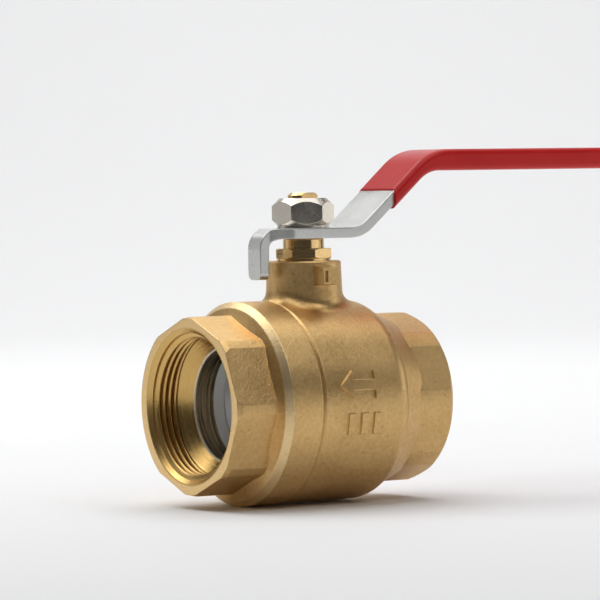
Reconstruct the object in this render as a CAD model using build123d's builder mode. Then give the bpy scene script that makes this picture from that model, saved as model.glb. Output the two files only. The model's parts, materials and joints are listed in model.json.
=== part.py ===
from build123d import *
import math
import os

# Two-piece brass ball valve, 1-1/2 inch, full port, female pipe threads.
# Frame: the ball's centre is the origin, +X runs down the pipe towards the far
# port, +Z runs up the stem.  The lever points along +X, which is open.
# Millimetres.

os.makedirs("parts", exist_ok=True)

# Fits
running_gap = 0.05          # on the radius, for what turns or screws in
seating_gap = 0.05          # along an axis, where one face bears on another

# Pipe ends
near_face = -46.2
far_face = 40.7
near_octagon_flat = 27.6    # half across the flats
far_octagon_flat = 27.1
near_corner_r = 29.25       # the corners are turned off at this radius
far_corner_r = 28.2
face_corner_r = 28.8        # and turned back to this at the near face
face_corner_run = 2.0
far_corner_run = 1.6        # and the far ones down by far_corner_drop at the far face
far_corner_drop = 1.2
near_octagon_back = -30.4
round_side_from = 20.0      # beyond this in +Y the near end is round, without flats
round_side_half_height = 20.6
port_thread_r = 24.0        # root of the 1-1/2 inch pipe thread
mouth_chamfer = 1.4
port_floor_r = 23.2         # each port ends in a 45 degree cone from this radius
bore_r = 18.6
bore_rim = 0.4              # flat rim between the cone and the bore

# Ball and seats
ball_r = 27.5
cavity_r = 28.4
seat_pocket_r = 24.6
seat_back = 24.4
seat_front = 15.0
seat_inner_r = 18.8
slot_half_width = 4.0
slot_floor = 21.8

# Barrel and the cap that screws into it
seam = -15.2
flange_r = 33.6
flange_front = -27.6
flange_bevel = 1.9
web_x = (-31.9, -30.0)      # a web slopes from the octagon up to the flange's bevel
web_r = (25.6, 30.2)
seam_edge = 0.8             # broken edges at the seam, on the radius and along the axis
seam_edge_run = 0.9
barrel_r = 33.2
barrel_straight_end = 15.0
shoulder_x = 19.6           # where the rounded shoulder meets the cone behind it
shoulder_r = 31.2
cone_end_x = 28.2
cone_end_r = 27.5
cone_foot_x = 29.0          # a short step from the cone into the octagon
cone_foot_r = 25.4
octagon_root = 18.0
spigot_r = 29.6
spigot_end = -9.0
spigot_edge = 0.7
cavity_start = -7.8
near_port_end = -31.6
far_port_end = 26.0

# Neck
neck_top = 46.5
neck_top_r = 12.3
neck_foot_r = 12.9
neck_foot_z = 30.0
neck_fillet = 4.8
neck_edge = 0.5
stem_bore_r = 6.9
collar_pocket_r = 8.0
collar_pocket_roof = 31.2
packing_chamber_r = 9.0
packing_floor = 35.6

mark_height = 0.65          # how far the raised marks stand off the barrel

# Stop lugs on the neck, tapered above and below, with an upright groove in the face
lug_root = 11.0
lug_out = 17.3
lug_width = 5.8
lug_shift = 1.15            # the lug's middle stands this far to one side of its radius
lug_low = 38.9
lug_high = 44.2
lug_root_low = 38.3
lug_root_high = 45.3
lug_groove_shift = 2.85
lug_groove_width = 1.25
lug_groove_height = 3.7
lug_groove_depth = 0.8
open_lug_angle = -90.0
closed_lug_angle = 70.6

# Stem
stem_r = stem_bore_r - running_gap
collar_r = collar_pocket_r - 0.15
collar_low = 27.9
collar_high = 30.4
tongue_half_length = 6.8
lever_seat = 53.9
stem_top = 69.0
stem_thread_r = 5.0
stem_flat = 3.9             # half the distance across the two flats
stem_point = 0.9            # bevel at the top of the thread
stem_edge = 0.4
collar_edge = 0.5
tongue_gap = 0.3            # under the tongue, and tongue_side_gap on each side of it
tongue_side_gap = 0.1
ring_groove_r = 5.4
ring_groove_low = 32.6
ring_groove_high = 34.4

# Packing, gland and packing nut
packing_ring_height = 1.6
packing_ring_count = 3
gland_height = 1.8
packing_nut_flats = 18.2
packing_nut_low = 47.3
packing_nut_high = 50.6
packing_nut_turn = 11.0
packing_nut_shank_low = 42.4
packing_nut_under_r = 9.2   # its corners are bevelled to these radii, below and above
packing_nut_top_r = 9.1
packing_nut_corner_r = 9.9

# Lever, grip and nut
plate = 3.4
lever_width = 19.5
tab_width = 7.2
tab_outer_x = -19.6
tab_low = 40.5
tab_bend_r = 5.0
neck_down_x = -11.2         # where the plate starts to narrow to the tab
neck_down_run = 4.2
tab_corner_r = 2.2
lever_end_r = 8.0
lower_bend_x = 17.0
lower_bend_r = 12.0
grip_z = 79.3
incline = 40.5
upper_bend_r = 16.0
lever_end_x = 151.0
vinyl_side = 1.0
vinyl_flat = 1.9            # above and below the level part
vinyl_slope_top = 0.55      # on the slope, where the dip ran thin
vinyl_slope_under = 1.15
grip_start_x = 30.3
grip_cap = 1.8              # vinyl past the lever's end
grip_edge_r = 1.9
nut_flats = 18.0
nut_face_low = lever_seat + plate + seating_gap
nut_low = nut_face_low + 0.8
nut_high = 67.2
nut_turn = 33.7
nut_bevel_top_r = 7.8       # both of its faces are bevelled at 45 degrees
nut_bevel_under_r = 8.5
nut_bore_r = stem_thread_r + 0.03
nut_washer_r = 8.6          # the round face it bears on
nut_bore_bevel = 0.6


def sphere_x(radius, height):
    """Distance along the axis at which a sphere has the given height."""
    return math.sqrt(radius**2 - height**2)


port_cone_run = port_floor_r - bore_r - bore_rim


def write(part, name):
    part.label = name
    export_step(part, f"parts/{name}.step")


# ---------------------------------------------------------------- end cap
with BuildPart() as end_cap:
    with BuildSketch(Plane.YZ.offset(near_face)):
        RegularPolygon(radius=near_octagon_flat, side_count=8, major_radius=False)
        with Locations(((round_side_from + near_corner_r) / 2, 0)):
            Rectangle(near_corner_r - round_side_from, 2 * round_side_half_height)
    extrude(amount=near_octagon_back - near_face)
    # the octagon's corners are turned off, and turned back at the face
    with BuildSketch(Plane.XZ):
        with BuildLine():
            Polyline(
                (near_face, 0),
                (near_face, face_corner_r),
                (near_face + face_corner_run, near_corner_r),
                (near_octagon_back, near_corner_r),
                (near_octagon_back, 0),
                close=True,
            )
        make_face()
    revolve(axis=Axis.X, mode=Mode.INTERSECT)
    # flange, flush with the barrel, and the spigot that screws into it
    with BuildSketch(Plane.XZ):
        with BuildLine():
            Polyline(
                (web_x[0], 0),
                (web_x[0], web_r[0]),
                (web_x[1], web_r[1]),
                (flange_front - flange_bevel, flange_r - flange_bevel),
                (flange_front, flange_r),
                (seam - seam_edge_run, flange_r),
                (seam - seating_gap, flange_r - seam_edge),
                (seam - seating_gap, spigot_r - running_gap),
                (spigot_end - seating_gap - spigot_edge, spigot_r - running_gap),
                (spigot_end - seating_gap, spigot_r - running_gap - spigot_edge),
                (spigot_end - seating_gap, 0),
                close=True,
            )
        make_face()
    revolve(axis=Axis.X)
    # port, its conical floor, bore, seat pocket and the ball's half of the cavity
    with BuildSketch(Plane.XZ):
        with BuildLine():
            Polyline(
                (near_face - 1, 0),
                (near_face - 1, port_thread_r + mouth_chamfer),
                (near_face, port_thread_r + mouth_chamfer),
                (near_face + mouth_chamfer, port_thread_r),
                (near_port_end - port_cone_run, port_thread_r),
                (near_port_end - port_cone_run, port_floor_r),
                (near_port_end, bore_r + bore_rim),
                (near_port_end, bore_r),
                (-seat_back, bore_r),
                (-seat_back, seat_pocket_r),
                (-sphere_x(cavity_r, seat_pocket_r), seat_pocket_r),
            )
            ThreePointArc(
                (-sphere_x(cavity_r, seat_pocket_r), seat_pocket_r),
                (-sphere_x(cavity_r, 26.4), 26.4),
                (spigot_end, sphere_x(cavity_r, spigot_end)),
            )
            Polyline(
                (spigot_end, sphere_x(cavity_r, spigot_end)),
                (spigot_end + 1, sphere_x(cavity_r, spigot_end)),
                (spigot_end + 1, 0),
                (near_face - 1, 0),
            )
        make_face()
    revolve(axis=Axis.X, mode=Mode.SUBTRACT)
write(end_cap.part, "end_cap")

# ------------------------------------------------------------------- body
with BuildPart() as body:
    with BuildSketch(Plane.YZ.offset(octagon_root)):
        RegularPolygon(radius=far_octagon_flat, side_count=8, major_radius=False)
    extrude(amount=far_face - octagon_root)
    with BuildSketch(Plane.XZ):
        with BuildLine():
            Polyline(
                (octagon_root, 0),
                (octagon_root, far_corner_r),
                (far_face - far_corner_run, far_corner_r),
                (far_face, far_corner_r - far_corner_drop),
                (far_face, 0),
                close=True,
            )
        make_face()
    revolve(axis=Axis.X, mode=Mode.INTERSECT)
    # barrel, with a rounded far shoulder and a cone down to the octagon
    with BuildSketch(Plane.XZ):
        with BuildLine():
            Polyline(
                (cone_foot_x, cone_foot_r),
                (cone_foot_x, 0),
                (seam, 0),
                (seam, barrel_r - seam_edge),
                (seam + seam_edge_run, barrel_r),
                (barrel_straight_end, barrel_r),
            )
            TangentArc((barrel_straight_end, barrel_r), (shoulder_x, shoulder_r), tangent=(1, 0))
            Polyline((shoulder_x, shoulder_r), (cone_end_x, cone_end_r), (cone_foot_x, cone_foot_r))
        make_face()
    revolve(axis=Axis.X)
    # neck
    with BuildSketch(Plane.XZ):
        with BuildLine():
            Polyline(
                (0, 20),
                (neck_foot_r, 20),
                (neck_foot_r, neck_foot_z),
                (neck_top_r, neck_top - neck_edge),
                (neck_top_r - neck_edge, neck_top),
                (0, neck_top),
                close=True,
            )
        make_face()
    revolve(axis=Axis.Z)
    neck_root = body.edges().filter_by(
        lambda e: e.bounding_box().size.X > 1.9 * neck_top_r
        and e.bounding_box().min.Z > neck_foot_z
        and e.bounding_box().size.Z > 1
    )
    fillet(neck_root, radius=neck_fillet)
    # stop lugs: one faces -Y, one is where the lever's tab arrives when closed
    for lug_angle in (open_lug_angle, closed_lug_angle):
        outward = Vector(1, 0, 0).rotate(Axis.Z, lug_angle)
        lug_plane = Plane(origin=(0, 0, 0), x_dir=outward, z_dir=outward.cross(Vector(0, 0, 1)))
        with BuildSketch(lug_plane.offset(lug_shift)):
            with BuildLine():
                Polyline(
                    (lug_root, lug_root_low),
                    (lug_out, lug_low),
                    (lug_out, lug_high),
                    (lug_root, lug_root_high),
                    close=True,
                )
            make_face()
        extrude(amount=lug_width / 2, both=True)
        with BuildSketch(lug_plane.offset(lug_groove_shift)):
            with Locations((lug_out, (lug_low + lug_high) / 2)):
                Rectangle(2 * lug_groove_depth, lug_groove_height)
        extrude(amount=lug_groove_width / 2, both=True, mode=Mode.SUBTRACT)
    # raised flow arrow with a head at each end, and three size bars below it
    with BuildSketch(Plane.XZ.offset(36)):
        with BuildLine():
            Polyline(
                (-8.6, 6.5), (-3.6, 11.2), (-3.6, 8.2), (4.8, 8.2), (4.8, 11.2), (9.8, 6.5),
                (4.8, 1.8), (4.8, 4.8), (-3.6, 4.8), (-3.6, 1.8), close=True,
            )
        make_face()
        with Locations((-4.4, -6.2), (0.6, -6.2), (5.6, -6.2)):
            Rectangle(2.6, 7.0)
    mark = extrude(amount=-20, mode=Mode.PRIVATE)
    with BuildSketch(Plane.XZ):
        with BuildLine():
            Polyline(
                (seam + 2, 0),
                (seam + 2, barrel_r + mark_height),
                (barrel_straight_end, barrel_r + mark_height),
                (barrel_straight_end, 0),
                close=True,
            )
        make_face()
    mark_skin = revolve(axis=Axis.X, mode=Mode.PRIVATE)
    add(mark & mark_skin)
    # seat pocket, cavity and the thread that takes the cap
    with BuildSketch(Plane.XZ):
        with BuildLine():
            Polyline(
                (far_face + 1, 0),
                (far_face + 1, port_thread_r + mouth_chamfer),
                (far_face, port_thread_r + mouth_chamfer),
                (far_face - mouth_chamfer, port_thread_r),
                (far_port_end + port_cone_run, port_thread_r),
                (far_port_end + port_cone_run, port_floor_r),
                (far_port_end, bore_r + bore_rim),
                (far_port_end, bore_r),
                (seat_back, bore_r),
                (seat_back, seat_pocket_r),
                (sphere_x(cavity_r, seat_pocket_r), seat_pocket_r),
            )
            ThreePointArc(
                (sphere_x(cavity_r, seat_pocket_r), seat_pocket_r),
                (sphere_x(cavity_r, 27.0), 27.0),
                (0, cavity_r),
            )
            Polyline(
                (0, cavity_r),
                (cavity_start, cavity_r),
                (cavity_start, spigot_r),
                (seam - 1, spigot_r),
                (seam - 1, 0),
                (far_face + 1, 0),
            )
        make_face()
    revolve(axis=Axis.X, mode=Mode.SUBTRACT)
    # stem bore, collar pocket and packing chamber
    with BuildSketch(Plane.XZ):
        with BuildLine():
            Polyline(
                (0, 20),
                (collar_pocket_r, 20),
                (collar_pocket_r, collar_pocket_roof),
                (stem_bore_r, collar_pocket_roof),
                (stem_bore_r, packing_floor),
                (packing_chamber_r, packing_floor),
                (packing_chamber_r, neck_top + 1),
                (0, neck_top + 1),
                close=True,
            )
        make_face()
    revolve(axis=Axis.Z, mode=Mode.SUBTRACT)
write(body.part, "body")

# ------------------------------------------------------------------- ball
with BuildPart() as ball:
    Sphere(radius=ball_r)
    with BuildSketch(Plane.YZ.offset(-ball_r)):
        Circle(bore_r)
    extrude(amount=2 * ball_r, mode=Mode.SUBTRACT)
    with BuildSketch(Plane.XY.offset(slot_floor)):
        Rectangle(2 * slot_half_width, 2 * ball_r)
    extrude(amount=ball_r, mode=Mode.SUBTRACT)
    chamfer(ball.edges().filter_by(GeomType.CIRCLE).filter_by(lambda e: e.radius == bore_r), 0.5)
write(ball.part, "ball")

# ------------------------------------------------------------------ seats
seat_ball_r = ball_r + running_gap
seat_outer_r = seat_pocket_r - running_gap
seat_mid_r = (seat_inner_r + math.sqrt(seat_ball_r**2 - seat_front**2)) / 2
for side, seat_name in ((-1, "near_seat"), (1, "far_seat")):
    with BuildPart() as seat:
        with BuildSketch(Plane.XZ):
            with BuildLine():
                ThreePointArc(
                    (side * sphere_x(seat_ball_r, seat_inner_r), seat_inner_r),
                    (side * sphere_x(seat_ball_r, seat_mid_r), seat_mid_r),
                    (side * seat_front, sphere_x(seat_ball_r, seat_front)),
                )
                Polyline(
                    (side * seat_front, sphere_x(seat_ball_r, seat_front)),
                    (side * seat_front, seat_outer_r),
                    (side * (seat_back - seating_gap), seat_outer_r),
                    (side * (seat_back - seating_gap), seat_inner_r),
                    (side * sphere_x(seat_ball_r, seat_inner_r), seat_inner_r),
                )
            make_face()
        revolve(axis=Axis.X)
    write(seat.part, seat_name)

# -------------------------------------------------------------- body seal
with BuildPart() as body_seal:
    with BuildSketch(Plane.YZ.offset(spigot_end)):
        Circle(spigot_r - running_gap)
        Circle(cavity_r - 0.6, mode=Mode.SUBTRACT)
    extrude(amount=cavity_start - seating_gap - spigot_end)
write(body_seal.part, "body_seal")

# ------------------------------------------------------------------- stem
with BuildPart() as stem:
    with BuildSketch(Plane.XZ):
        with BuildLine():
            Polyline(
                (0, collar_low),
                (collar_r - collar_edge, collar_low),
                (collar_r, collar_low + collar_edge),
                (collar_r, collar_high),
                (stem_r, collar_high),
                (stem_r, ring_groove_low),
                (ring_groove_r, ring_groove_low),
                (ring_groove_r, ring_groove_high),
                (stem_r, ring_groove_high),
                (stem_r, lever_seat - stem_edge),
                (stem_r - stem_edge, lever_seat),
                (stem_thread_r, lever_seat),
                (stem_thread_r, stem_top - stem_point),
                (stem_thread_r - stem_point, stem_top),
                (0, stem_top),
                close=True,
            )
        make_face()
    revolve(axis=Axis.Z)
    # tongue that turns the ball
    with BuildSketch(Plane.XY.offset(slot_floor + tongue_gap)):
        RectangleRounded(2 * (slot_half_width - tongue_side_gap), 2 * tongue_half_length, 1.0)
    extrude(amount=collar_low - slot_floor)
    # two flats that carry the lever
    with BuildSketch(Plane.XY.offset(lever_seat)):
        Rectangle(30, 30)
        Rectangle(30, 2 * stem_flat, mode=Mode.SUBTRACT)
    extrude(amount=stem_top, mode=Mode.SUBTRACT)
write(stem.part, "stem")

# ------------------------------------------------- washer and ring on stem
with BuildPart() as stem_washer:
    with BuildSketch(Plane.XY.offset(collar_high + seating_gap)):
        Circle(collar_pocket_r - running_gap)
        Circle(stem_r + running_gap, mode=Mode.SUBTRACT)
    extrude(amount=collar_pocket_roof - collar_high - 2 * seating_gap)
write(stem_washer.part, "stem_washer")

ring_section_r = (stem_r - ring_groove_r) / 2
with BuildPart() as stem_o_ring:
    with Locations((0, 0, (ring_groove_low + ring_groove_high) / 2)):
        Torus(major_radius=ring_groove_r + ring_section_r, minor_radius=ring_section_r)
write(stem_o_ring.part, "stem_o_ring")

# --------------------------------------------------------- packing and gland
packing_names = ("packing_ring_lower", "packing_ring_middle", "packing_ring_upper")
for level, packing_name in enumerate(packing_names):
    ring_base = packing_floor + seating_gap + level * (packing_ring_height + seating_gap)
    with BuildPart() as packing_ring:
        with BuildSketch(Plane.XY.offset(ring_base)):
            Circle(packing_chamber_r - running_gap)
            Circle(stem_r + running_gap, mode=Mode.SUBTRACT)
        extrude(amount=packing_ring_height)
    write(packing_ring.part, packing_name)

gland_low = packing_floor + seating_gap + packing_ring_count * (packing_ring_height + seating_gap)
with BuildPart() as gland_ring:
    with BuildSketch(Plane.XY.offset(gland_low)):
        Circle(packing_chamber_r - running_gap)
        Circle(stem_r + running_gap, mode=Mode.SUBTRACT)
    extrude(amount=packing_nut_shank_low - seating_gap - gland_low)
write(gland_ring.part, "gland_ring")

with BuildPart() as packing_nut:
    with BuildSketch(Plane.XY.offset(packing_nut_low)):
        RegularPolygon(radius=packing_nut_flats / 2, side_count=8, major_radius=False,
                       rotation=packing_nut_turn + 22.5)
    extrude(amount=packing_nut_high - packing_nut_low)
    with BuildSketch(Plane.XZ):
        with BuildLine():
            Polyline(
                (0, packing_nut_low),
                (packing_nut_under_r, packing_nut_low),
                (packing_nut_corner_r, packing_nut_low + 0.4),
                (packing_nut_corner_r, packing_nut_high - 0.5),
                (packing_nut_top_r, packing_nut_high),
                (0, packing_nut_high),
                close=True,
            )
        make_face()
    revolve(axis=Axis.Z, mode=Mode.INTERSECT)
    with BuildSketch(Plane.XY.offset(packing_nut_shank_low)):
        Circle(packing_chamber_r - running_gap)
    extrude(amount=packing_nut_low - packing_nut_shank_low)
    with BuildSketch(Plane.XY.offset(packing_nut_shank_low)):
        Circle(stem_r + running_gap)
    extrude(amount=packing_nut_high - packing_nut_shank_low, mode=Mode.SUBTRACT)
write(packing_nut.part, "packing_nut")

# ------------------------------------------------------------------ lever
plate_mid = lever_seat + plate / 2
rise = grip_z - plate_mid
slope = math.tan(math.radians(incline))
half_slope = math.tan(math.radians(incline / 2))


def underside(drop):
    """Corners of the lever's underside, drop below its middle, from the plate to the grip."""
    lower_x = lower_bend_x + drop * half_slope
    return [
        (lower_x, plate_mid - drop),
        (lower_x + rise / slope, grip_z - drop),
    ]


with BuildPart() as lever:
    with BuildSketch(Plane.XZ.offset(-lever_width / 2)):
        with BuildLine():
            FilletPolyline(
                (tab_outer_x + plate, tab_low),
                (tab_outer_x + plate, lever_seat),
                *underside(plate / 2),
                (lever_end_x, grip_z - plate / 2),
                radius=[tab_bend_r - plate / 2, lower_bend_r + plate / 2, upper_bend_r - plate / 2],
            )
            offset(amount=plate, side=Side.LEFT, closed=True)
        make_face()
    extrude(amount=lever_width)
    # plan outline: full width, rounded at the end, necked down to the tab
    with BuildSketch(Plane.XY.offset(tab_low - 5)):
        with BuildLine():
            FilletPolyline(
                (tab_outer_x - 3, -tab_width / 2),
                (neck_down_x - neck_down_run, -tab_width / 2),
                (neck_down_x, -lever_width / 2),
                (lever_end_x, -lever_width / 2),
                (lever_end_x, lever_width / 2),
                (neck_down_x, lever_width / 2),
                (neck_down_x - neck_down_run, tab_width / 2),
                (tab_outer_x - 3, tab_width / 2),
                close=True,
                radius=[1.0, 1.6, 3.0, lever_end_r, lever_end_r, 3.0, 1.6, 1.0],
            )
        make_face()
    extrude(amount=60, mode=Mode.INTERSECT)
    # the tab's lower corners
    tab_corners = lever.edges().filter_by(Axis.X).group_by(Axis.Z)[0]
    fillet(tab_corners, radius=tab_corner_r)
    # hole with two flats for the stem
    with BuildSketch(Plane.XY.offset(lever_seat - 1)):
        Circle(stem_thread_r + running_gap)
        Rectangle(30, 2 * (stem_flat + running_gap), mode=Mode.INTERSECT)
    extrude(amount=plate + 2, mode=Mode.SUBTRACT)
write(lever.part, "lever")

# ------------------------------------------------------------------- grip
# side outline: a thin skin up the slope, thicker round the level part
slope_low = underside(plate / 2 + vinyl_slope_under)[0]
slope_high = underside(-plate / 2 - vinyl_slope_top)[0]
level_low = grip_z - plate / 2 - vinyl_flat
level_high = grip_z + plate / 2 + vinyl_flat


def along_slope(foot, height):
    """Where the sloping line that starts at foot reaches the given height."""
    return foot[0] + (height - foot[1]) / slope


with BuildPart() as grip:
    with BuildSketch(Plane.XZ.offset(-lever_width / 2 - vinyl_side)):
        with BuildLine():
            lower_line = FilletPolyline(
                (grip_start_x, slope_low[1] + (grip_start_x - slope_low[0]) * slope),
                (along_slope(slope_low, level_low), level_low),
                (lever_end_x + grip_cap, level_low),
                radius=upper_bend_r - plate,
            )
            upper_line = FilletPolyline(
                (lever_end_x + grip_cap, level_high),
                (along_slope(slope_high, level_high), level_high),
                (grip_start_x, slope_high[1] + (grip_start_x - slope_high[0]) * slope),
                radius=upper_bend_r + plate,
            )
            Line(lower_line @ 1, upper_line @ 0)
            Line(upper_line @ 1, lower_line @ 0)
        make_face()
    extrude(amount=lever_width + 2 * vinyl_side)
    with BuildSketch(Plane.XY.offset(plate_mid)):
        with BuildLine():
            FilletPolyline(
                (grip_start_x - 3, -lever_width / 2 - vinyl_side),
                (lever_end_x + grip_cap, -lever_width / 2 - vinyl_side),
                (lever_end_x + grip_cap, lever_width / 2 + vinyl_side),
                (grip_start_x - 3, lever_width / 2 + vinyl_side),
                close=True,
                radius=[2.0, lever_end_r + vinyl_side, lever_end_r + vinyl_side, 2.0],
            )
        make_face()
    extrude(amount=grip_z, mode=Mode.INTERSECT)
    side_faces = grip.faces().sort_by(Axis.Y)
    long_edges = side_faces[0].edges() + side_faces[-1].edges()
    fillet(long_edges.filter_by(lambda e: e.length > 2 * plate), radius=grip_edge_r)
    add(lever.part, mode=Mode.SUBTRACT)
write(grip.part, "grip")

# -------------------------------------------------------------- lever nut
nut_corner_r = nut_flats / math.sqrt(3) + 0.1
with BuildPart() as lever_nut:
    with BuildSketch(Plane.XY.offset(nut_low)):
        RegularPolygon(radius=nut_flats / 2, side_count=6, major_radius=False, rotation=nut_turn)
    extrude(amount=nut_high - nut_low)
    with BuildSketch(Plane.XZ):
        with BuildLine():
            Polyline(
                (0, nut_low),
                (nut_bevel_under_r, nut_low),
                (nut_corner_r, nut_low + nut_corner_r - nut_bevel_under_r),
                (nut_corner_r, nut_high - nut_corner_r + nut_bevel_top_r),
                (nut_bevel_top_r, nut_high),
                (0, nut_high),
                close=True,
            )
        make_face()
    revolve(axis=Axis.Z, mode=Mode.INTERSECT)
    with BuildSketch(Plane.XY.offset(nut_face_low)):
        Circle(nut_washer_r)
    extrude(amount=nut_low - nut_face_low)
    with BuildSketch(Plane.XY.offset(nut_face_low)):
        Circle(nut_bore_r)
    extrude(amount=nut_high - nut_face_low, mode=Mode.SUBTRACT)
    bore_edges = lever_nut.edges().filter_by(GeomType.CIRCLE).filter_by(
        lambda e: abs(e.radius - nut_bore_r) < 0.01)
    chamfer(bore_edges, nut_bore_bevel)
write(lever_nut.part, "lever_nut")
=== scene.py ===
import bpy
import bmesh
import json
import math
from mathutils import Matrix, Vector


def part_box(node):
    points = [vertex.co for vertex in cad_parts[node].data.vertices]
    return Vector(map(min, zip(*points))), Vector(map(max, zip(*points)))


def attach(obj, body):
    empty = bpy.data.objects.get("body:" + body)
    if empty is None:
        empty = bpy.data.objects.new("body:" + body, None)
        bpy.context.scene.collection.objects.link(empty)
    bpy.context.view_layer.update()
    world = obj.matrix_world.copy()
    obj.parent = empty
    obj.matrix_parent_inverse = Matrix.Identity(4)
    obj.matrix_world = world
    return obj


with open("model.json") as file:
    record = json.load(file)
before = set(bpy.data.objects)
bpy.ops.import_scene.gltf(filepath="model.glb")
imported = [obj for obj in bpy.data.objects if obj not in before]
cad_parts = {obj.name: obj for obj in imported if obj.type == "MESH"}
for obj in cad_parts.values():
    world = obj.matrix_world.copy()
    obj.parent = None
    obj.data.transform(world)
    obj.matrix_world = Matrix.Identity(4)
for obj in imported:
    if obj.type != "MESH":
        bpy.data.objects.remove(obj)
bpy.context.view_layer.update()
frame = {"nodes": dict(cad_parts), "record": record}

MM = 0.001                       # one millimetre in metres
scene = bpy.context.scene

# --------------------------------------------------------------- materials


class Nodes:
    """Short names for building a node material.

    The numbers that index a Mix node are its sockets: factor 0, values 2 and 3, colours 6 and 7.
    """

    def __init__(self, name):
        self.material = bpy.data.materials.new(name)
        self.material.use_nodes = True
        self.tree = self.material.node_tree
        self.tree.nodes.clear()
        self.output = self.add("ShaderNodeOutputMaterial")
        self.shader = self.add("ShaderNodeBsdfPrincipled")
        self.link(self.shader.outputs[0], self.output.inputs["Surface"])
        self.place = self.add("ShaderNodeTexCoord").outputs["Object"]

    def add(self, kind, **settings):
        node = self.tree.nodes.new(kind)
        for key, value in settings.items():
            setattr(node, key, value)
        return node

    def link(self, source, target):
        self.tree.links.new(source, target)

    def put(self, value, target):
        if hasattr(value, "is_output"):
            self.link(value, target)
        else:
            target.default_value = value

    def stretched(self, scale):
        node = self.add("ShaderNodeMapping")
        self.link(self.place, node.inputs["Vector"])
        node.inputs["Scale"].default_value = scale
        return node.outputs[0]

    def noise(self, scale, detail=4.0, rough=0.5, vector=None):
        node = self.add("ShaderNodeTexNoise")
        self.link(vector or self.place, node.inputs["Vector"])
        node.inputs["Scale"].default_value = scale
        node.inputs["Detail"].default_value = detail
        node.inputs["Roughness"].default_value = rough
        return node.outputs["Fac"]

    def cells(self, scale):
        node = self.add("ShaderNodeTexVoronoi", feature="F1")
        self.link(self.place, node.inputs["Vector"])
        node.inputs["Scale"].default_value = scale
        return node.outputs["Distance"]

    def remap(self, value, low, high, to_low, to_high):
        node = self.add("ShaderNodeMapRange")
        self.link(value, node.inputs["Value"])
        node.inputs["From Min"].default_value = low
        node.inputs["From Max"].default_value = high
        node.inputs["To Min"].default_value = to_low
        node.inputs["To Max"].default_value = to_high
        return node.outputs[0]

    def mix(self, factor, first, second):
        node = self.add("ShaderNodeMix", data_type="RGBA")
        self.put(factor, node.inputs[0])
        self.put(first, node.inputs[6])
        self.put(second, node.inputs[7])
        return node.outputs[2]

    def mix_value(self, factor, first, second):
        node = self.add("ShaderNodeMix", data_type="FLOAT")
        self.put(factor, node.inputs[0])
        self.put(first, node.inputs[2])
        self.put(second, node.inputs[3])
        return node.outputs[0]

    def parts(self, vector):
        node = self.add("ShaderNodeSeparateXYZ")
        self.link(vector, node.inputs[0])
        return node.outputs

    def math(self, operation, first, second):
        node = self.add("ShaderNodeMath", operation=operation)
        self.put(first, node.inputs[0])
        self.put(second, node.inputs[1])
        return node.outputs[0]

    def between(self, value, low, high):
        above = self.math("GREATER_THAN", value, low)
        return self.math("MULTIPLY", above, self.math("LESS_THAN", value, high))

    def bump(self, height, strength, distance, normal=None):
        node = self.add("ShaderNodeBump")
        node.inputs["Strength"].default_value = strength
        node.inputs["Distance"].default_value = distance
        self.link(height, node.inputs["Height"])
        if normal is not None:
            self.link(normal, node.inputs["Normal"])
        return node.outputs[0]

    def edge_round(self, radius):
        node = self.add("ShaderNodeBevel", samples=6)
        node.inputs["Radius"].default_value = radius
        return node.outputs[0]

    def set(self, **values):
        names = {"color": "Base Color", "metal": "Metallic", "rough": "Roughness",
                 "normal": "Normal", "coat": "Coat Weight", "coat_rough": "Coat Roughness",
                 "specular": "Specular IOR Level",
                 "subsurface": "Subsurface Weight", "scatter": "Subsurface Scale"}
        for key, value in values.items():
            self.put(value, self.shader.inputs[names[key]])


def rgb(red, green, blue):
    return (red, green, blue, 1.0)


BRASS = rgb(0.74, 0.485, 0.195)
BRASS_LIGHT = rgb(0.85, 0.615, 0.310)
BRASS_DARK = rgb(0.59, 0.368, 0.137)
BRASS_STAIN = rgb(0.35, 0.210, 0.075)
# painted highlight, mixed onto the flange bevel
BEVEL_PAINTED_HIGHLIGHT = rgb(0.95, 0.760, 0.440)
# painted shade for the port walls and their threads, in turning rings
PORT_PAINTED_SHADE_DEEP = rgb(0.56, 0.345, 0.105)
PORT_PAINTED_SHADE_PALE = rgb(0.68, 0.450, 0.165)
# painted shade for the cap's bore behind its lip, in turning rings
BORE_PAINTED_SHADE_DEEP = rgb(0.16, 0.115, 0.060)
BORE_PAINTED_SHADE_PALE = rgb(0.42, 0.330, 0.200)
# painted highlight for the bore's rim
RIM_PAINTED_HIGHLIGHT = rgb(1.0, 0.90, 0.68)

# where the brass changes, in metres: _R is a radius round the pipe, _X a place along it,
# and each pair is the start and the end of the change, or of the band
PORT_WALL_R = (0.0257, 0.0259)
NEAR_FACE_X = (-0.04612, -0.04605)
# the flange bevel, where a highlight is painted
BEVEL_X = (-0.0297, -0.0274)
BEVEL_R = (0.0313, 0.0316)
# the cap's bore, where shade is painted
CAP_BORE_X = (-0.0315, -0.0243)
CAP_BORE_R = (0.0189, 0.0190)
# the bore's rim, where a highlight is painted
BORE_RIM_X = (-0.0318, -0.0315)
BORE_RIM_R = (0.0194, 0.0195)


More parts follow.
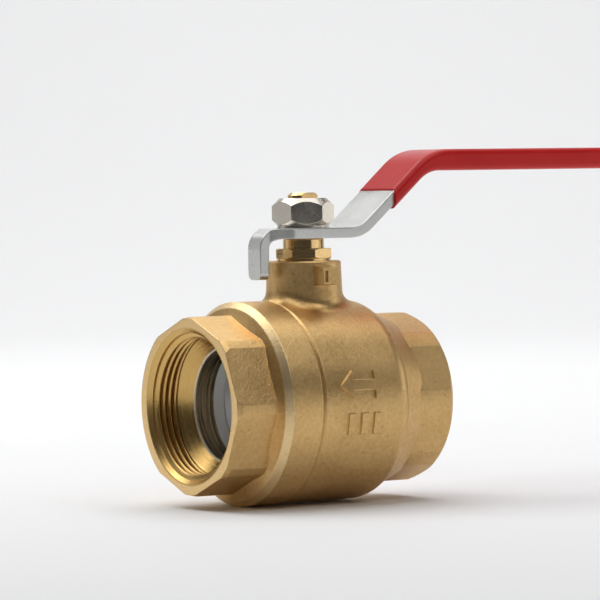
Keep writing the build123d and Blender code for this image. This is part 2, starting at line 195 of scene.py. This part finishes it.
def forged_brass():
    """Shot-blasted forging, with turned port walls, near face and flange bevel. Painted shade
    darkens the port walls and the cap's bore, and painted highlights brighten the flange bevel
    and the bore's rim.
    """
    n = Nodes("forged_brass")
    axis = n.parts(n.place)
    squares = n.math("ADD", n.math("POWER", axis[1], 2.0), n.math("POWER", axis[2], 2.0))
    from_pipe = n.math("SQRT", squares, 0.0)
    inside = n.remap(from_pipe, *PORT_WALL_R, 1, 0)
    at_face = n.remap(axis[0], *NEAR_FACE_X, 1, 0)
    turned = n.math("MAXIMUM", inside, at_face)
    # the flange bevel's band, which gets a painted highlight
    bevel = n.math("MULTIPLY", n.between(axis[0], *BEVEL_X), n.remap(from_pipe, *BEVEL_R, 0, 1))
    # the cap's bore band, which gets painted shade
    in_bore = n.math("MULTIPLY", n.between(axis[0], *CAP_BORE_X),
                     n.remap(from_pipe, *CAP_BORE_R, 1, 0))
    # the bore's rim, which gets a painted highlight and is made less metallic so the highlight
    # shows pale
    rim_highlight = n.math("MULTIPLY", n.between(axis[0], *BORE_RIM_X),
                 n.remap(from_pipe, *BORE_RIM_R, 1, 0))

    patches = n.noise(38, 5, 0.62)
    grain = n.noise(750, 3, 0.65)
    specks = n.remap(n.noise(420, 2, 0.5), 0.66, 0.76, 0, 0.55)
    rings = n.noise(26, 2, 0.5, n.stretched((45, 1, 1)))
    cast_tone = n.mix(n.remap(patches, 0.36, 0.66, 0, 1), BRASS_DARK, BRASS)
    cast_tone = n.mix(n.remap(grain, 0.35, 0.75, 0, 0.5), cast_tone, BRASS_LIGHT)
    cast_tone = n.mix(specks, cast_tone, BRASS_STAIN)
    # painted shade inside the ports, in turning rings
    port_painted_shade = n.mix(rings, PORT_PAINTED_SHADE_DEEP, PORT_PAINTED_SHADE_PALE)
    # turned tone on the near face, painted shade on the port walls
    turned_tone_and_port_shade = n.mix(inside, n.mix(rings, BRASS, BRASS_LIGHT), port_painted_shade)
    # painted shade in the cap's bore, in turning rings
    bore_painted_shade = n.mix(n.remap(rings, 0.42, 0.62, 0, 1), BORE_PAINTED_SHADE_DEEP, BORE_PAINTED_SHADE_PALE)
    tone = n.mix(turned, cast_tone, turned_tone_and_port_shade)
    # painted highlight on the flange bevel
    tone = n.mix(n.math("MULTIPLY", bevel, 0.55), tone, BEVEL_PAINTED_HIGHLIGHT)
    tone = n.mix(in_bore, tone, bore_painted_shade)
    # painted highlight on the bore's rim
    tone = n.mix(rim_highlight, tone, RIM_PAINTED_HIGHLIGHT)

    cast_rough = n.remap(patches, 0.3, 0.7, 0.36, 0.46)
    turned_rough = n.remap(rings, 0.3, 0.7, 0.22, 0.32)
    rough = n.mix_value(turned, cast_rough, turned_rough)
    normal = n.bump(n.noise(130, 4, 0.6), 0.16, 0.0007, n.edge_round(0.00045))
    pits = n.math("MULTIPLY", n.cells(1150), n.math("SUBTRACT", 1.0, turned))
    normal = n.bump(pits, 0.22, 0.00018, normal)
    normal = n.bump(n.math("MULTIPLY", rings, turned), 0.12, 0.00012, normal)
    n.set(color=tone, metal=n.mix_value(rim_highlight, 0.92, 0.3), rough=rough, normal=normal)
    return n.material


def turned_brass():
    """Machined brass, with lathe lines round the stem's axis and a few stains."""
    n = Nodes("turned_brass")
    lines = n.noise(60, 3, 0.6, n.stretched((1, 1, 60)))
    stain = n.noise(180, 4, 0.6)
    tone = n.mix(lines, BRASS, BRASS_LIGHT)
    tone = n.mix(n.remap(stain, 0.5, 0.75, 0, 0.5), tone, BRASS_DARK)
    normal = n.bump(lines, 0.05, 0.0001, n.edge_round(0.0002))
    n.set(color=tone, metal=1.0, rough=n.remap(lines, 0.3, 0.7, 0.12, 0.20), normal=normal)
    return n.material


def plated_steel():
    """Zinc-plated bar, hazy and faintly brushed along its length."""
    n = Nodes("plated_steel")
    haze = n.noise(55, 5, 0.6)
    brush = n.noise(240, 4, 0.7, n.stretched((0.10, 1, 1)))
    fleck = n.noise(900, 3, 0.6)
    tone = n.mix(haze, rgb(0.62, 0.625, 0.60), rgb(0.76, 0.765, 0.74))
    tone = n.mix(n.remap(fleck, 0.55, 0.75, 0, 0.4), tone, rgb(0.48, 0.485, 0.47))
    normal = n.bump(n.noise(90, 3, 0.5), 0.10, 0.0006, n.edge_round(0.0007))
    normal = n.bump(brush, 0.10, 0.0002, normal)
    n.set(color=tone, metal=0.85, rough=n.remap(haze, 0.3, 0.7, 0.24, 0.38), normal=normal)
    return n.material


def plated_nut():
    """Warmer and smoother plating than the lever's."""
    n = Nodes("plated_nut")
    haze = n.noise(160, 4, 0.6)
    tone = n.mix(haze, rgb(0.53, 0.485, 0.42), rgb(0.66, 0.615, 0.54))
    normal = n.bump(n.noise(420, 4, 0.6), 0.07, 0.0001, n.edge_round(0.0003))
    n.set(color=tone, metal=1.0, rough=n.remap(haze, 0.3, 0.7, 0.20, 0.30), normal=normal)
    return n.material


def chromed_ball():
    """Chrome plate over faint turning lines."""
    n = Nodes("chromed_ball")
    haze = n.noise(40, 4, 0.5)
    rings = n.noise(30, 2, 0.5, n.stretched((40, 1, 1)))
    tone = n.mix(haze, rgb(0.66, 0.69, 0.70), rgb(0.78, 0.80, 0.81))
    normal = n.bump(rings, 0.10, 0.0001)
    n.set(color=tone, metal=1.0, rough=n.remap(haze, 0.3, 0.7, 0.22, 0.34), normal=normal)
    return n.material


def vinyl_grip():
    """Dipped vinyl: red, soft gloss, with slow ripples and orange peel."""
    n = Nodes("vinyl_grip")
    cloud = n.noise(48, 4, 0.5)
    ripple = n.noise(70, 2, 0.4, n.stretched((0.5, 1, 1)))
    orange_peel = n.noise(420, 2, 0.5)
    tone = n.mix(n.remap(cloud, 0.3, 0.7, 0, 1), rgb(0.54, 0.013, 0.012), rgb(0.63, 0.020, 0.017))
    normal = n.bump(ripple, 0.16, 0.0009)
    normal = n.bump(orange_peel, 0.06, 0.0002, normal)
    n.set(color=tone, rough=n.remap(cloud, 0.3, 0.7, 0.25, 0.35), normal=normal, specular=0.22,
          coat=0.12, coat_rough=0.10)
    return n.material


def ptfe():
    """White PTFE, which lets light a little way in."""
    n = Nodes("ptfe")
    cloud = n.noise(90, 4, 0.5)
    tone = n.mix(cloud, rgb(0.93, 0.925, 0.90), rgb(0.97, 0.965, 0.945))
    n.set(color=tone, rough=n.remap(cloud, 0.3, 0.7, 0.42, 0.55), subsurface=0.6, scatter=0.002)
    return n.material


def seal_rubber():
    """Black rubber."""
    n = Nodes("seal_rubber")
    cloud = n.noise(300, 4, 0.5)
    tone = n.mix(cloud, rgb(0.015, 0.015, 0.015), rgb(0.04, 0.04, 0.04))
    n.set(color=tone, rough=n.remap(cloud, 0.3, 0.7, 0.5, 0.7))
    return n.material


makers = {
    "forged_brass": forged_brass,
    "turned_brass": turned_brass,
    "plated_steel": plated_steel,
    "plated_nut": plated_nut,
    "chromed_ball": chromed_ball,
    "vinyl_grip": vinyl_grip,
    "ptfe": ptfe,
    "seal_rubber": seal_rubber,
}
finish = {name: make() for name, make in makers.items()}
slot_of = {entry["node"]: entry["material_slot"] for entry in frame["record"]["subparts"]}
for node_name, node in frame["nodes"].items():
    for index in range(len(node.material_slots)):
        node.material_slots[index].material = finish[slot_of[node_name]]

# ----------------------------------------------------------------- threads


PIPE_ROOT, PIPE_CREST, PIPE_PITCH = 24.0, 22.35, 2.209      # mm
FIRST_CREST = 1.6                # from a port's face to the start of its ridge, mm
NEAR_REACH, FAR_REACH = 10.3, 10.4                          # from the face to the ridge's end
NEAR_START_ANGLE = 2.6           # radians, where the near ridge starts round the pipe
SUNK = 0.25                      # how deep the ridge's foot lies in the wall, mm
FOOT_SUNK = 0.02                 # how deep its flanks meet the wall
CREST_FALL = 0.12                # from the crest to its shoulders
FOOT_HALF, SHOULDER_HALF = 0.45, 0.10                       # half widths, in pitches
STEPS_PER_TURN = 96
FADE_STEPS = STEPS_PER_TURN // 3
THINNEST = 0.3                   # the ridge's width at its ends, against its full width


def helix_ridge(name, start, end, root, crest, pitch, body, slot, first_angle=0.0):
    """A right-hand screw ridge inside a port, from the root radius in to the crest."""
    base = FOOT_HALF * pitch
    shoulder = SHOULDER_HALF * pitch
    section = [(-base, root + SUNK), (-base, root + FOOT_SUNK),
               (-shoulder, crest + CREST_FALL), (0.0, crest), (shoulder, crest + CREST_FALL),
               (base, root + FOOT_SUNK), (base, root + SUNK)]
    steps = int(STEPS_PER_TURN * (end - start) / pitch)
    mesh = bmesh.new()
    rows = []
    for step in range(steps + 1):
        angle = first_angle + 2 * math.pi * step / STEPS_PER_TURN
        centre = start + pitch * step / STEPS_PER_TURN
        grown = min(1.0, (step + 2) / FADE_STEPS, (steps - step + 2) / FADE_STEPS)
        width = THINNEST + (1 - THINNEST) * grown
        row = []
        for along, radius in section:
            level = root + SUNK + (radius - root - SUNK) * grown
            point = (centre + along * width, level * math.cos(angle), level * math.sin(angle))
            row.append(mesh.verts.new(Vector(point) * MM))
        rows.append(row)
    count = len(section)
    for before, after in zip(rows, rows[1:]):
        for index in range(count):
            other = (index + 1) % count
            mesh.faces.new((before[index], before[other], after[other], after[index]))
    mesh.faces.new(rows[0])
    mesh.faces.new(list(reversed(rows[-1])))
    bmesh.ops.recalc_face_normals(mesh, faces=mesh.faces)
    data = bpy.data.meshes.new(name)
    mesh.to_mesh(data)
    mesh.free()
    for face in data.polygons:
        face.use_smooth = True
    data.set_sharp_from_angle(angle=math.radians(50))
    data.materials.append(finish[slot])
    ridge = bpy.data.objects.new(name, data)
    scene.collection.objects.link(ridge)
    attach(ridge, body)


near_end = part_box("end_cap")[0][0] / MM
far_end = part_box("body")[1][0] / MM
helix_ridge("near_port_thread", near_end + FIRST_CREST, near_end + NEAR_REACH,
            PIPE_ROOT, PIPE_CREST, PIPE_PITCH, "valve_body", "forged_brass", NEAR_START_ANGLE)
helix_ridge("far_port_thread", far_end - FAR_REACH, far_end - FIRST_CREST,
            PIPE_ROOT, PIPE_CREST, PIPE_PITCH, "valve_body", "forged_brass")

# ------------------------------------------------------------------- stage


def stage_material():
    n = Nodes("pale_floor")
    cloud = n.noise(3, 2, 0.5)
    tone = n.mix(cloud, rgb(0.88, 0.882, 0.885), rgb(0.90, 0.902, 0.905))
    n.set(color=tone, rough=0.75, specular=0.2)
    return n.material


floor_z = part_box("end_cap")[0][2]
STAGE_TURN = math.radians(-33.6)     # nearly square to the camera
BEND_STEPS = 12


def make_stage():
    """A floor that curves up into a backdrop behind the object, sizes in metres."""
    front, depth, rise, bend, half_width = -0.55, 2.2, 2.5, 0.8, 2.2
    profile = [(front, 0.0), (depth - bend, 0.0)]
    for step in range(1, BEND_STEPS + 1):
        angle = math.radians(90 * step / BEND_STEPS)
        along = depth - bend + bend * math.sin(angle)
        profile.append((along, bend - bend * math.cos(angle)))
    profile.append((depth, rise))
    mesh = bpy.data.meshes.new("stage")
    points = []
    for along, up in profile:
        for side in (-half_width, half_width):
            points.append((side, along, floor_z + up))
    faces = [(2 * i, 2 * i + 1, 2 * i + 3, 2 * i + 2) for i in range(len(profile) - 1)]
    mesh.from_pydata(points, [], faces)
    for face in mesh.polygons:
        face.use_smooth = True
    stage = bpy.data.objects.new("stage", mesh)
    scene.collection.objects.link(stage)
    stage.rotation_euler = (0, 0, STAGE_TURN)
    mesh.materials.append(stage_material())
    return stage


make_stage()

# ------------------------------------------------------------------ camera
turn = math.radians(55.65)       # from the pipe's axis to the way the camera looks
tilt = math.radians(1.70)        # how far it looks down
roll = math.radians(-0.86)
distance = 1.3259                # from the ball's centre, metres
aim_right = -0.00141
aim_up = 0.03345

forward = Vector((math.cos(tilt) * math.cos(turn), math.cos(tilt) * math.sin(turn),
                  -math.sin(tilt)))
right = Vector((math.sin(turn), -math.cos(turn), 0))
up = right.cross(forward)
camera_data = bpy.data.cameras.new("camera")
camera_data.lens = 240
camera_data.sensor_width = 36
camera_data.clip_end = 20
camera = bpy.data.objects.new("camera", camera_data)
scene.collection.objects.link(camera)
spot = -distance * forward + aim_right * right + aim_up * up
side_axis = math.cos(roll) * right + math.sin(roll) * up
top_axis = math.cos(roll) * up - math.sin(roll) * right
pose = Matrix((side_axis, top_axis, -forward)).transposed().to_4x4()
pose.translation = spot
camera.matrix_world = pose
scene.camera = camera

# ------------------------------------------------------------------ lights


def area_light(name, place, size, power, target=(0, 0, 0.02)):
    """A soft box, its size in metres and its power in watts, turned to its target."""
    data = bpy.data.lights.new(name, "AREA")
    data.shape = "RECTANGLE"
    data.size, data.size_y = size
    data.energy = power
    light = bpy.data.objects.new(name, data)
    scene.collection.objects.link(light)
    light.location = place
    light.rotation_euler = (Vector(target) - Vector(place)).to_track_quat("-Z", "Y").to_euler()


def seen_from(right_m, up_m, back_m):
    """A place given as the camera sees it: to its right, up, and towards it, in metres."""
    level = Vector((math.cos(turn), math.sin(turn), 0))
    return tuple(right * right_m + Vector((0, 0, up_m)) - level * back_m)


area_light("top", seen_from(-0.15, 1.30, -0.15), (1.9, 1.5), 15)
area_light("key", seen_from(-0.75, 1.15, -0.45), (0.8, 0.8), 4.4)
area_light("right_front", seen_from(0.70, 1.00, 0.52), (0.6, 0.5), 2.4)
area_light("right_low", seen_from(1.35, 0.02, 0.50), (1.3, 0.13), 0.60)
area_light("right_back", seen_from(1.35, 0.34, -0.35), (0.6, 0.6), 1.6)
area_light("left_back", seen_from(-1.2, 0.40, -0.35), (0.7, 0.9), 1.0)
area_light("backdrop", seen_from(0.0, 1.6, -1.1), (2.4, 0.8), 19.5,
           target=seen_from(0, 0.5, -2.2))

# the object sees a dim room, and the camera sees a pale one past the stage's edges
ROOM = rgb(0.055, 0.055, 0.06)
PAST_STAGE = rgb(0.93, 0.94, 0.95)
world = bpy.data.worlds.new("studio")
scene.world = world
world.use_nodes = True
tree = world.node_tree
background = tree.nodes["Background"]
path = tree.nodes.new("ShaderNodeLightPath")
shade = tree.nodes.new("ShaderNodeMix")
shade.data_type = "RGBA"
tree.links.new(path.outputs["Is Camera Ray"], shade.inputs[0])
shade.inputs[6].default_value = ROOM
shade.inputs[7].default_value = PAST_STAGE
tree.links.new(shade.outputs[2], background.inputs["Color"])
background.inputs["Strength"].default_value = 1.0
scene.view_settings.view_transform = "Standard"
